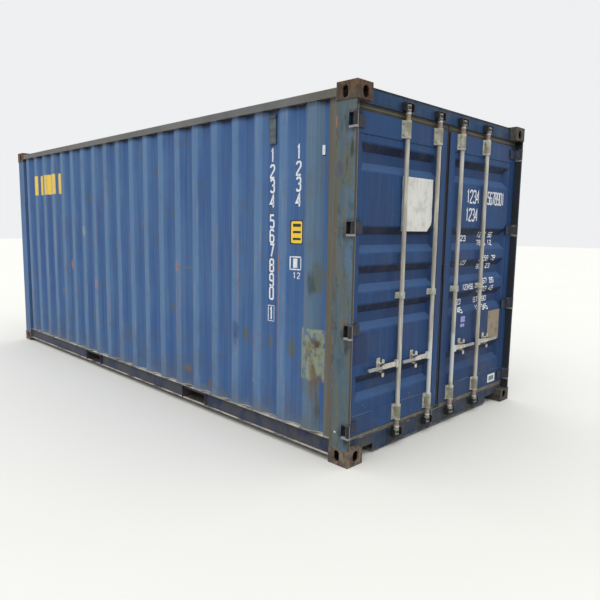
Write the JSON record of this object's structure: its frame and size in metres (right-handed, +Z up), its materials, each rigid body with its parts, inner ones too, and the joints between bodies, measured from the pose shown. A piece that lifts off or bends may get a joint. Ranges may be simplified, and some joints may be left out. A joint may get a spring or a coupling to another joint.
{
  "type": "shipping container",
  "caption": "Steel dry freight container with corrugated walls, pressed roof, hollow corner castings, fork pockets and two end doors with turning lock bars.",
  "frame": {"origin": "centre of the bounding box's underside, on the plane of the bottom corner castings", "axes": "+Y along the container from the doors to the closed front end, +X across it, +Z up"},
  "size_m": [2.438, 6.058, 2.591],
  "materials": {
    "casting_steel": "rusty, worn paint",
    "blue_paint": "faded, chalky paint",
    "rail_paint": "scuffed dark paint",
    "post_paint": "worn grey paint with rust",
    "underframe_steel": "dark undercoat",
    "floor_wood": "worn plywood",
    "lock_steel": "grey zinc with dirt",
    "dark_steel": "black forged steel",
    "seal_rubber": "dull rubber",
    "plate_metal": "dull stained plate"
  },
  "bodies": {
    "container": {"bottom_corner_castings": "casting_steel", "rear_top_castings": "casting_steel", "front_top_castings": "casting_steel", "front_corner_posts": "blue_paint", "rear_corner_posts": "post_paint", "bottom_side_rails": "rail_paint", "top_side_rails": "rail_paint", "front_sill": "rail_paint", "front_header": "rail_paint", "door_sill": "rail_paint", "door_header": "rail_paint", "left_side_wall": "blue_paint", "right_side_wall": "blue_paint", "front_wall": "blue_paint", "roof_panel": "blue_paint", "roof_end_plates": "blue_paint", "cross_members": "underframe_steel", "fork_pockets": "underframe_steel", "floor_boards": "floor_wood", "floor_centre_strip": "underframe_steel", "hinge_lugs": "post_paint", "hinge_pins": "lock_steel", "top_cam_keepers": "dark_steel", "bottom_cam_keepers": "dark_steel", "side_ventilators": "blue_paint"},
    "left_door": {"left_door_frame": "blue_paint", "left_door_panel": "blue_paint", "left_door_seal": "seal_rubber", "left_hinge_blades": "lock_steel", "left_bar_bearings": "lock_steel", "left_handle_catches": "lock_steel"},
    "right_door": {"right_door_frame": "blue_paint", "right_door_panel": "blue_paint", "right_door_seal": "seal_rubber", "right_hinge_blades": "lock_steel", "right_bar_bearings": "lock_steel", "right_handle_catches": "lock_steel", "right_door_plate": "plate_metal", "door_overlap_plate": "blue_paint"},
    "bar_1": {"lock_bar_1": "lock_steel", "bar_handle_1": "lock_steel"},
    "bar_2": {"lock_bar_2": "lock_steel", "bar_handle_2": "lock_steel"},
    "bar_3": {"lock_bar_3": "lock_steel", "bar_handle_3": "lock_steel"},
    "bar_4": {"lock_bar_4": "lock_steel", "bar_handle_4": "lock_steel"}
  },
  "joints": [
    {"name": "left_door_hinge", "type": "hinge", "parent": "container", "child": "left_door", "pos_m": [-1.205, -3.015, 1.2965], "axis": [0, 0, -1], "range_deg": [0, 265]},
    {"name": "right_door_hinge", "type": "hinge", "parent": "container", "child": "right_door", "pos_m": [1.205, -3.015, 1.2965], "axis": [0, 0, 1], "range_deg": [0, 265]},
    {"name": "bar_1_turn", "type": "hinge", "parent": "left_door", "child": "bar_1", "pos_m": [-0.598, -2.991, 1.3], "axis": [0, 0, -1], "range_deg": [-115, 0]},
    {"name": "bar_2_turn", "type": "hinge", "parent": "left_door", "child": "bar_2", "pos_m": [-0.175, -2.991, 1.3], "axis": [0, 0, -1], "range_deg": [-115, 0]},
    {"name": "bar_3_turn", "type": "hinge", "parent": "right_door", "child": "bar_3", "pos_m": [0.175, -2.991, 1.3], "axis": [0, 0, 1], "range_deg": [-115, 0]},
    {"name": "bar_4_turn", "type": "hinge", "parent": "right_door", "child": "bar_4", "pos_m": [0.598, -2.991, 1.3], "axis": [0, 0, 1], "range_deg": [-115, 0]}
  ]
}
